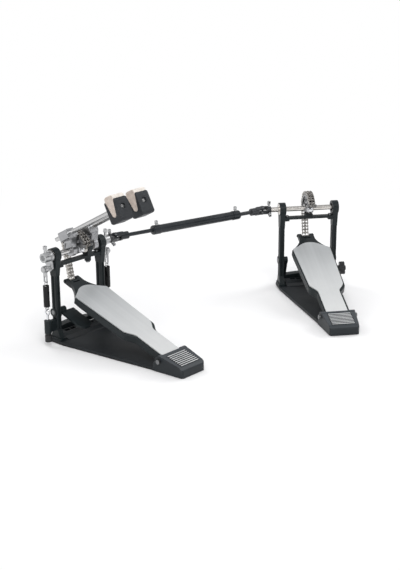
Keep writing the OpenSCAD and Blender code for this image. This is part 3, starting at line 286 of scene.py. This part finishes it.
def coated(name, dark, light, under, shine, grain=1100, relief=0.00012, radius=0.0007, gleam=0.3):
    coat = bpy.data.materials.new(name)
    coat.use_nodes = True
    tree = coat.node_tree
    skin = tree.nodes["Principled BSDF"]
    skin.inputs["Specular IOR Level"].default_value = gleam
    edges = add_effect(tree, worn_edges, Radius=radius, Reach=radius * 2)
    pebbles = add_effect(tree, coat_grain, Scale=grain)
    tone = mixed_colour(tree, pebbles.outputs["Cloud"], dark, light)
    tree.links.new(mixed_colour(tree, edges.outputs["Rubbed"], tone, under), skin.inputs["Base Color"])
    tree.links.new(ranged(tree, pebbles.outputs["Cloud"], shine - 0.06, shine + 0.08), skin.inputs["Roughness"])
    tree.links.new(bumped(tree, pebbles.outputs["Height"], relief, 0.7, edges.outputs["Normal"]),
                   skin.inputs["Normal"])
    return coat


def tinted_where_facing(material, tint, way, low, high):
    tree = material.node_tree
    colour = tree.nodes["Principled BSDF"].inputs["Base Color"]
    faces = add_effect(tree, facing, Way=way, Low=low, High=high)
    tree.links.new(mixed_colour(tree, faces.outputs["Mask"], colour.links[0].from_socket, tint), colour)
    return material


def dress(material, *names):
    for name in names:
        cad[name].data.materials.clear()
        cad[name].data.materials.append(material)


black_coat = coated("black_cast_coat", (0.007, 0.011, 0.0125), (0.013, 0.0185, 0.0205),
                    (0.060, 0.066, 0.070), 0.40, gleam=0.26)
dress(black_coat, *(pedal + part for pedal in ("main_", "slave_")
                    for part in ("posts", "bridge", "clamp_lever", "footboard_frame")))
block_coat = coated("heel_block_coat", (0.011, 0.0145, 0.017), (0.018, 0.0225, 0.026), (0.07, 0.075, 0.08), 0.44,
                    grain=800, radius=0.0022)
# The upward faces of the heel blocks are tinted lighter: painted light on their tops.
dress(tinted_where_facing(block_coat, (0.050, 0.057, 0.064), (0, 0, 1), 0.35, 0.98),
      "main_heel_block", "slave_heel_block")


# Base plates: pressed steel under a smoother black coat, a little dusty,
# screwed to the posts in front and to the heel block behind.
plate_coat = coated("black_plate_coat", (0.010, 0.0125, 0.0145), (0.018, 0.0215, 0.0245),
                    (0.06, 0.064, 0.068), 0.46, grain=600, gleam=0.26)
dress(plate_coat, "main_base_plate", "slave_base_plate")


# Mats: black rubber with a fine moulded rib under each base plate, dull and
# a little grey from the floor.
def moulded(name, dark, light, shine, grain=1500, relief=0.00008, radius=0.0008, coat=0.0, gleam=0.3):
    skin_stuff = bpy.data.materials.new(name)
    skin_stuff.use_nodes = True
    tree = skin_stuff.node_tree
    skin = tree.nodes["Principled BSDF"]
    skin.inputs["Specular IOR Level"].default_value = gleam
    skin.inputs["Coat Weight"].default_value = coat
    skin.inputs["Coat Roughness"].default_value = 0.22
    edges = add_effect(tree, worn_edges, Radius=radius, Reach=radius * 1.5)
    pebbles = add_effect(tree, coat_grain, Scale=grain, Clouds=45.0)
    tree.links.new(mixed_colour(tree, pebbles.outputs["Cloud"], dark, light), skin.inputs["Base Color"])
    tree.links.new(ranged(tree, pebbles.outputs["Cloud"], shine - 0.05, shine + 0.07), skin.inputs["Roughness"])
    tree.links.new(bumped(tree, pebbles.outputs["Height"], relief, 0.6, edges.outputs["Normal"]),
                   skin.inputs["Normal"])
    return skin_stuff


dress(moulded("mat_rubber", (0.012, 0.012, 0.013), (0.028, 0.028, 0.029), 0.78, grain=700),
      "main_base_mat", "slave_base_mat")


# Heel grips: a black rubber pad let into each heel block, with silvered bars
# across it for the heel. The slave's pad is turned with its pedal.
slave_spot, slave_turn = Vector((0.49198, -0.14302, 0)), Matrix.Rotation(math.radians(-38.07), 4, "Z")
grip_lie = Matrix.Translation((0, -0.260, 0.02365)) @ Matrix.Rotation(math.radians(14.48), 4, "X")
inlay_width, inlay_depth, inlay_low, inlay_high = 0.0418, 0.0338, -0.0019, 0.0001
lip_width, lip_depth, lip_low, lip_high = 0.0446, 0.0364, 0.00003, 0.0003
bar_count, bar_pitch, bar_length, bar_width, bar_low, bar_high = 8, 0.00455, 0.0426, 0.0018, 0.0002, 0.0012
grip_rubber = moulded("grip_rubber", (0.006, 0.007, 0.008), (0.013, 0.015, 0.016), 0.6, radius=0.0003)
bar_silver = coated("grip_bar_silver", (0.56, 0.575, 0.58), (0.70, 0.715, 0.72), (0.80, 0.81, 0.815), 0.36,
                    grain=900, relief=0.00002, radius=0.0003)


def softened_block(work, size, middle, soften, steps=2):
    corners = bmesh.ops.create_cube(work, size=1)["verts"]
    bmesh.ops.scale(work, vec=size, verts=corners)
    bmesh.ops.translate(work, vec=middle, verts=corners)
    bmesh.ops.bevel(work, geom=list(dict.fromkeys(e for v in corners for e in v.link_edges)), offset=soften,
                    segments=steps, affect="EDGES", clamp_overlap=True)


def slab(work, width, depth, low, high, along=0.0, soften=0.0004):
    softened_block(work, (width, depth, high - low), (0, along, (low + high) / 2), soften)


def finished(work, name, stuff, crease=None):
    mesh = bpy.data.meshes.new(name)
    work.to_mesh(mesh)
    work.free()
    if crease is not None:
        mesh.shade_smooth()
        mesh.set_sharp_from_angle(angle=math.radians(crease))
    mesh.materials.append(stuff)
    piece = bpy.data.objects.new(name, mesh)
    scene.collection.objects.link(piece)
    return piece


for pedal, spot, turn, body in (("main", Vector(), Matrix(), "root"),
                                ("slave", slave_spot, slave_turn, "slave_frame")):
    pad = bmesh.new()
    slab(pad, inlay_width, inlay_depth, inlay_low, inlay_high)
    slab(pad, lip_width, lip_depth, lip_low, lip_high, soften=0.0001)
    bars = bmesh.new()
    for i in range(bar_count):
        slab(bars, bar_length, bar_width, bar_low, bar_high, (i - (bar_count - 1) / 2) * bar_pitch)
    for work, label, stuff in ((pad, "_grip_pad", grip_rubber), (bars, "_grip_bars", bar_silver)):
        work.transform(Matrix.Translation(spot) @ turn @ grip_lie)
        piece = finished(work, pedal + label, stuff)
        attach(piece, body)
        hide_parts(pedal + "_heel_grip")


# Footboard plates: satin silver sheet with a bright cut edge, brushed from
# heel to toe and laid into the black frames.
brushing, ask, give = shader_effect(
    "brushing", [("Heading", NUMBER, 0.0), ("Fine", NUMBER, 900)],
    [("Height", NUMBER), ("Streak", NUMBER)])
n, link = brushing.nodes.new, brushing.links.new
spot = n("ShaderNodeTexCoord")
turned = n("ShaderNodeVectorRotate")
turned.rotation_type = "Z_AXIS"
link(spot.outputs["Object"], turned.inputs["Vector"])
link(ask.outputs["Heading"], turned.inputs["Angle"])
stretched = n("ShaderNodeVectorMath")
stretched.operation = "MULTIPLY"
stretched.inputs[1].default_value = (1, 0.012, 0.012)
link(turned.outputs["Vector"], stretched.inputs[0])
hair = n("ShaderNodeTexNoise")
hair.inputs["Detail"].default_value = 4
link(stretched.outputs["Vector"], hair.inputs["Vector"])
link(ask.outputs["Fine"], hair.inputs["Scale"])
streak = n("ShaderNodeTexNoise")
streak.inputs["Scale"].default_value = 130
streak.inputs["Detail"].default_value = 5
link(stretched.outputs["Vector"], streak.inputs["Vector"])
link(hair.outputs["Fac"], give.inputs["Height"])
link(streak.outputs["Fac"], give.inputs["Streak"])

# Heelward: 0 near the toe of a board, 1 near its heel
heelward, ask, give = shader_effect("heelward", [("Toe", DIRECTION, (0, 0, 0))], [("Share", NUMBER)])
n, link = heelward.nodes.new, heelward.links.new
spot = n("ShaderNodeTexCoord")
from_toe = n("ShaderNodeVectorMath")
from_toe.operation = "DISTANCE"
link(spot.outputs["Object"], from_toe.inputs[0])
link(ask.outputs["Toe"], from_toe.inputs[1])
share = n("ShaderNodeMapRange")
share.inputs["From Min"].default_value = 0.06
share.inputs["From Max"].default_value = 0.27
link(from_toe.outputs["Value"], share.inputs["Value"])
link(share.outputs["Result"], give.inputs["Share"])


def silver_sheet(name, heading, toe):
    sheet_metal = bpy.data.materials.new(name)
    sheet_metal.use_nodes = True
    tree = sheet_metal.node_tree
    skin = tree.nodes["Principled BSDF"]
    skin.inputs["Metallic"].default_value = 0.35
    edges = add_effect(tree, worn_edges, Radius=0.0004, Reach=0.0007)
    lines = add_effect(tree, brushing, Heading=heading)
    smudge = add_effect(tree, coat_grain, Clouds=14.0)
    painted_heel_light = add_effect(tree, heelward, Toe=toe)
    tone = mixed_colour(tree, lines.outputs["Streak"], (0.425, 0.442, 0.450), (0.615, 0.635, 0.643))
    # Towards the heel the sheet turns paler: a painted gradient of light along the board.
    tone = mixed_colour(tree, painted_heel_light.outputs["Share"], tone, (0.80, 0.808, 0.80))
    tone = mixed_colour(tree, ranged(tree, smudge.outputs["Cloud"], 0, 0.3), tone, (0.54, 0.55, 0.555))
    tree.links.new(mixed_colour(tree, edges.outputs["Rubbed"], tone, (0.78, 0.79, 0.80)),
                   skin.inputs["Base Color"])
    tree.links.new(ranged(tree, smudge.outputs["Cloud"], 0.34, 0.46), skin.inputs["Roughness"])
    tree.links.new(bumped(tree, lines.outputs["Height"], 0.00004, 0.7, edges.outputs["Normal"]),
                   skin.inputs["Normal"])
    return sheet_metal


toe_spot = Vector((0, 0.01, 0.10))
dress(silver_sheet("silver_plate_main", 0.0, toe_spot), "main_footboard_plate")
dress(silver_sheet("silver_plate_slave", math.radians(38.07), slave_spot + slave_turn @ toe_spot),
      "slave_footboard_plate")


# Axles, bearings and beater rods: ground steel bar, bright and very slightly
# streaked. The end faces of the main axles carry painted shade, a darker tint.
def bare_metal(name, dark, light, shine, radius=0.0005, clouds=40.0, grain=1400, relief=0.00001):
    metal = bpy.data.materials.new(name)
    metal.use_nodes = True
    tree = metal.node_tree
    skin = tree.nodes["Principled BSDF"]
    skin.inputs["Metallic"].default_value = 1
    edges = add_effect(tree, worn_edges, Radius=radius, Reach=radius * 2)
    pebbles = add_effect(tree, coat_grain, Scale=grain, Clouds=clouds)
    tone = mixed_colour(tree, pebbles.outputs["Cloud"], dark, light)
    tree.links.new(mixed_colour(tree, edges.outputs["Rubbed"], tone, tuple(min(1, c * 1.15) for c in light)),
                   skin.inputs["Base Color"])
    tree.links.new(ranged(tree, pebbles.outputs["Cloud"], shine - 0.05, shine + 0.08), skin.inputs["Roughness"])
    tree.links.new(bumped(tree, pebbles.outputs["Height"], relief, 0.4, edges.outputs["Normal"]),
                   skin.inputs["Normal"])
    return metal


dress(bare_metal("ground_steel", (0.60, 0.575, 0.54), (0.76, 0.735, 0.70), 0.22, radius=0.00015),
      "slave_axle", "main_bearings", "slave_bearings")
# The end faces of the main and drive axles, facing along x, are tinted darker: painted shade.
axle_steel_shaded_ends = bare_metal("axle_steel_painted_end_shade", (0.56, 0.555, 0.55), (0.72, 0.715, 0.71), 0.22, radius=0.00015)
dress(tinted_where_facing(axle_steel_shaded_ends, (0.25, 0.255, 0.26), (1, 0, 0), 0.90, 0.97), "main_axle", "drive_axle")
dress(bare_metal("rod_steel", (0.53, 0.53, 0.53), (0.62, 0.62, 0.62), 0.22, clouds=12.0,
                 radius=0.0001, relief=0.000003),
      "left_beater_rod", "right_beater_rod")


# Rockers, hangers, holders and cams: cast steel with a satin nickel skin,
# clamped to the axles. The cams and holders are darker than the rockers.
nickel_skin = bare_metal("nickel_skin", (0.42, 0.425, 0.43), (0.58, 0.585, 0.59), 0.30, radius=0.0007)
dress(nickel_skin, "left_rocker", "right_rocker", "left_spring_hanger", "right_spring_hanger")
dress(bare_metal("holder_skin", (0.31, 0.315, 0.325), (0.45, 0.455, 0.465), 0.29, radius=0.0008),
      "left_beater_holder", "right_beater_holder")
dress(bare_metal("cam_skin", (0.21, 0.213, 0.217), (0.33, 0.333, 0.337), 0.36, radius=0.0006, grain=700,
                 relief=0.00004), "main_cam", "slave_cam")


# Chains: two-strand roller chain of warm nickel steel, hung from the cam and
# pinned to the board. The stretch on the cam is darker.
dress(bare_metal("chain_steel", (0.40, 0.385, 0.36), (0.66, 0.64, 0.61), 0.27, radius=0.0003, clouds=240.0),
      *(pedal + part for pedal in ("main_", "slave_") for part in ("chain_segment", "chain_hanging")))
dress(bare_metal("chain_steel_darker_on_cam", (0.20, 0.19, 0.18), (0.46, 0.445, 0.42), 0.25, radius=0.0003, clouds=240.0),
      "main_chain_on_cam", "slave_chain_on_cam")


# Beater shells: moulded black plastic with a fine spark-eroded grain, screwed
# to the rods and grooved for the felts.
dress(moulded("beater_plastic", (0.015, 0.017, 0.020), (0.023, 0.026, 0.030), 0.42, grain=1100, radius=0.0012),
      "left_beater_shell", "right_beater_shell")


# Beater felts: pressed wool wedges held by the shells, dense and matt, with
# a fuzzy skin and softened edges, bored for the rod.
felt_wool = bpy.data.materials.new("pressed_wool")
felt_wool.use_nodes = True
tree = felt_wool.node_tree
wool = tree.nodes["Principled BSDF"]
wool.inputs["Roughness"].default_value = 0.95
wool.inputs["Sheen Weight"].default_value = 0.35
wool.inputs["Sheen Roughness"].default_value = 0.5
fibres = add_effect(tree, coat_grain, Scale=2200.0, Clouds=120.0)
# The felt's faces looking along x (its sides) take the darker colour as painted shade, and its other faces the
# lighter one as painted light.
side_wool_painted_shade = mixed_colour(tree, fibres.outputs["Cloud"], (0.52, 0.44, 0.38), (0.70, 0.61, 0.54))
top_wool_painted_light = mixed_colour(tree, fibres.outputs["Cloud"], (0.70, 0.64, 0.575), (0.86, 0.81, 0.75))
shaded_sides_mask = add_effect(tree, facing, Way=(1, 0, 0), Low=0.5, High=0.9)
tree.links.new(mixed_colour(tree, shaded_sides_mask.outputs["Mask"], top_wool_painted_light, side_wool_painted_shade), wool.inputs["Base Color"])
tree.links.new(bumped(tree, fibres.outputs["Height"], 0.0006, 0.9), wool.inputs["Normal"])
wool_grain, skin_depth = 0.0009, 0.00012
(lump_scale, lump_depth), (fibre_scale, fibre_depth) = (260, 0.00018), (1200, 0.00006)
for side in ("left", "right"):
    node = cad[side + "_beater_felt"]
    felt = bpy.data.objects.new(side + "_felt_wedge", node.data.copy())
    scene.collection.objects.link(felt)
    remesh = felt.modifiers.new("even", "REMESH")
    remesh.mode = "VOXEL"
    remesh.voxel_size = wool_grain
    rounded = felt.modifiers.new("rounded", "SMOOTH")
    rounded.factor = 0.5
    rounded.iterations = 5
    shaped = bpy.data.meshes.new_from_object(felt.evaluated_get(bpy.context.evaluated_depsgraph_get()))
    felt.modifiers.clear()
    felt.data = shaped
    for v in shaped.vertices:
        lump = noise.noise(v.co * lump_scale) * lump_depth + noise.noise(v.co * fibre_scale) * fibre_depth
        v.co += v.normal * (lump - skin_depth)
    shaped.shade_smooth()
    shaped.materials.clear()
    shaped.materials.append(felt_wool)
    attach(felt, side + "_head")
    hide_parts(side + "_beater_felt")


# Springs: one length of round wire, a hook at each end and close turns
# between them. The upper hook hangs in the strap, the lower in the rod's eye.
def swept_wire(name, points, radius, sides=10):
    count = len(points)
    ahead = [(points[min(i + 1, count - 1)] - points[max(i - 1, 0)]).normalized() for i in range(count)]
    side_way = ahead[0].orthogonal().normalized()
    rings = []
    for place, way in zip(points, ahead):
        side_way = (side_way - way * side_way.dot(way)).normalized()
        other = way.cross(side_way)
        rings.append([place + radius * (math.cos(math.tau * k / sides) * side_way
                                        + math.sin(math.tau * k / sides) * other) for k in range(sides)])
    mesh = bpy.data.meshes.new(name)
    faces = [(i * sides + k, i * sides + (k + 1) % sides, (i + 1) * sides + (k + 1) % sides, (i + 1) * sides + k)
             for i in range(count - 1) for k in range(sides)]
    faces += [tuple(reversed(range(sides))), tuple(range((count - 1) * sides, count * sides))]
    mesh.from_pydata([tuple(v) for ring in rings for v in ring], [], faces)
    mesh.shade_smooth()
    piece = bpy.data.objects.new(name, mesh)
    scene.collection.objects.link(piece)
    return piece


wire_steel = bare_metal("spring_wire", (0.62, 0.62, 0.62), (0.80, 0.80, 0.80), 0.18, radius=0.0002)
wire_r, turn_r, hook_r = 0.0008, 0.0038, 0.0034
coil_low, coil_high, hook_low, hook_high = 0.076, 0.112, 0.0697, 0.1172
turns, turn_steps, hook_steps, hook_sweep = 13, 20, 18, 280
coil_steps = turns * turn_steps
for side, x in (("left", -0.076), ("right", 0.071)):
    run = []
    for i in range(hook_steps + 1):
        a = math.radians(50 - hook_sweep * i / hook_steps)
        run.append(Vector((hook_r * math.cos(a), 0, hook_low + hook_r * math.sin(a))))
    run.append(Vector((-turn_r * 0.85, 0.0007, coil_low - 0.002)))
    for i in range(coil_steps + 1):
        a = math.pi + math.tau * i / turn_steps
        run.append(Vector((turn_r * math.cos(a), turn_r * math.sin(a),
                           coil_low + (coil_high - coil_low) * i / coil_steps)))
    run.append(Vector((-turn_r * 0.85, -0.0007, coil_high + 0.0016)))
    for i in range(hook_steps + 1):
        a = math.radians(230 - hook_sweep * i / hook_steps)
        run.append(Vector((hook_r * math.cos(a), 0, hook_high + hook_r * math.sin(a))))
    spring = swept_wire(side + "_spring_wire", [p + Vector((x, 0, 0)) for p in run], wire_r)
    spring.data.materials.append(wire_steel)
    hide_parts(side + "_spring_coil")
    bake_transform(spring)


# Spring sleeves: smooth black rubber tubes, slipped over the turns of the
# springs to keep them quiet.
dress(moulded("sleeve_rubber", (0.003, 0.003, 0.0035), (0.006, 0.006, 0.007), 0.24, grain=500, relief=0.00002),
      "left_spring_sleeve", "right_spring_sleeve")


# Tension rods and joint crosses: bright chrome on turned steel. The screws and
# pins of the frames are zinc plated and duller.
chrome = bare_metal("chrome_plate", (0.70, 0.71, 0.73), (0.82, 0.83, 0.85), 0.12, radius=0.0004, clouds=70.0)
dress(chrome, "tension_rods")
dress(bare_metal("zinc_plate", (0.17, 0.175, 0.18), (0.27, 0.275, 0.28), 0.33, radius=0.0004, clouds=150.0),
      "main_frame_fasteners", "slave_frame_fasteners", "drive_cross", "slave_cross")


# Tension knobs and wing bolts: moulded black plastic with a slight gloss,
# turned by hand on steel shanks.
dress(moulded("knob_plastic", (0.012, 0.013, 0.014), (0.020, 0.021, 0.022), 0.34, grain=900, coat=0.25),
      "left_tension_knob", "right_tension_knob", "main_clamp_wing_bolt", "slave_clamp_wing_bolt")


# Linkage: a satin black tube clamped on two rods, with black forks at the
# joints between the pedals.
dress(coated("linkage_tube_coat", (0.009, 0.012, 0.015), (0.016, 0.020, 0.024), (0.06, 0.064, 0.068), 0.28,
             grain=1400, relief=0.00002, gleam=0.4), "linkage_tube")
dress(coated("fork_coat", (0.016, 0.018, 0.021), (0.034, 0.037, 0.041), (0.16, 0.16, 0.165), 0.32, gleam=0.45),
      "linkage_rod", "drive_yoke", "slave_yoke")


# Key screws: turned steel stems with a collar and a square head for a drum
# key, nickel plated, standing on the linkage tube and the forks.
screw_nickel = bare_metal("screw_nickel", (0.34, 0.345, 0.35), (0.50, 0.505, 0.51), 0.22,
                          radius=0.0004, clouds=90.0)
stem_r, collar_r, screw_sides = 0.0019, 0.0019 * 1.95, 24
head_width, head_height, head_soft = 0.0052, 0.0056, 0.0006


def lathed(work, outline, sides):
    rings = [[work.verts.new((r * math.cos(math.tau * k / sides), r * math.sin(math.tau * k / sides), z))
              for k in range(sides)] if r else [work.verts.new((0, 0, z))] for r, z in outline]
    for low, high in zip(rings, rings[1:]):
        for k in range(sides):
            around = (low[k % len(low)], low[(k + 1) % len(low)], high[(k + 1) % len(high)], high[k % len(high)])
            work.faces.new(list(dict.fromkeys(around)))
    return rings


def key_screw(name, place, upward, body, length=0.0035):
    steel_work = bmesh.new()
    profile = [(0.0, -0.0015), (stem_r, -0.0015), (stem_r, length - 0.0003), (stem_r * 1.8, length),
               (collar_r, length + 0.0004), (collar_r, length + 0.0012), (stem_r * 1.7, length + 0.0016),
               (0.0, length + 0.0016)]
    lathed(steel_work, profile, screw_sides)
    softened_block(steel_work, (head_width, head_width, head_height), (0, 0, length + 0.0040), head_soft)
    bmesh.ops.recalc_face_normals(steel_work, faces=steel_work.faces)
    turn = Vector((0, 0, 1)).rotation_difference(Vector(upward)).to_matrix().to_4x4()
    steel_work.transform(Matrix.Translation(place) @ turn)
    piece = finished(steel_work, name, screw_nickel, crease=32)
    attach(piece, body)


axle_z = 0.165
link_yaw = math.radians(14.64)
along_link = Vector((math.cos(link_yaw), -math.sin(link_yaw), 0))
main_joint = Vector((0.094, 0, axle_z))
upright = Vector((0, 0, 1))
low_side = Vector((0, -math.cos(math.radians(35)), -math.sin(math.radians(35))))
tube_skin, fork_skin = 0.0088, 0.0070
for label, reach in (("near", 0.089), ("far", 0.269)):
    key_screw("tube_screw_" + label, main_joint + along_link * reach + upright * tube_skin, upright,
              "linkage_tube", length=0.0022)
drive_fork = Vector((0.080, 0, axle_z))
key_screw("drive_fork_screw_top", drive_fork + upright * 0.0102, upright, "drive_rotor", length=0.0012)
key_screw("drive_fork_screw_low", drive_fork + low_side * fork_skin, low_side, "drive_rotor")
slave_axle = slave_spot + Vector((0, 0, axle_z))
slave_fork = slave_axle + slave_turn @ Vector((-0.081, 0, 0))
for label, way, length in (("top", upright, 0.0045), ("low", slave_turn @ low_side, 0.0025)):
    key_screw("slave_fork_screw_" + label, slave_fork + way * fork_skin, way, "slave_rotor", length=length)


# Cam clamp caps: chromed saddles pulled on to the cam hubs by one bolt each.
# The bolt has a domed head, on the side towards the heel.
cap_size, cap_middle, cap_soft = (0.0124, 0.0066, 0.0108), -0.0108, 0.0016
bolt_seat, dome_sides = -0.0139, 28
dome = [(0.0044, 0.0), (0.0044, 0.0016), (0.0038, 0.0028), (0.0025, 0.0036), (0.0, 0.0039)]
for pedal, spot, turn, body in (("main", Vector((0, 0, axle_z)), Matrix(), "main_rotor"),
                                ("slave", slave_axle, slave_turn, "slave_rotor")):
    saddle = bmesh.new()
    softened_block(saddle, cap_size, (0, cap_middle, 0), cap_soft, steps=3)
    rings = lathed(saddle, dome, dome_sides)
    saddle.faces.new(rings[0])
    for v in (v for ring in rings for v in ring):
        v.co = (v.co.x, bolt_seat - v.co.z, v.co.y)
    bmesh.ops.recalc_face_normals(saddle, faces=saddle.faces)
    saddle.transform(Matrix.Translation(spot) @ turn)
    piece = finished(saddle, pedal + "_cam_cap", chrome, crease=35)
    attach(piece, body)
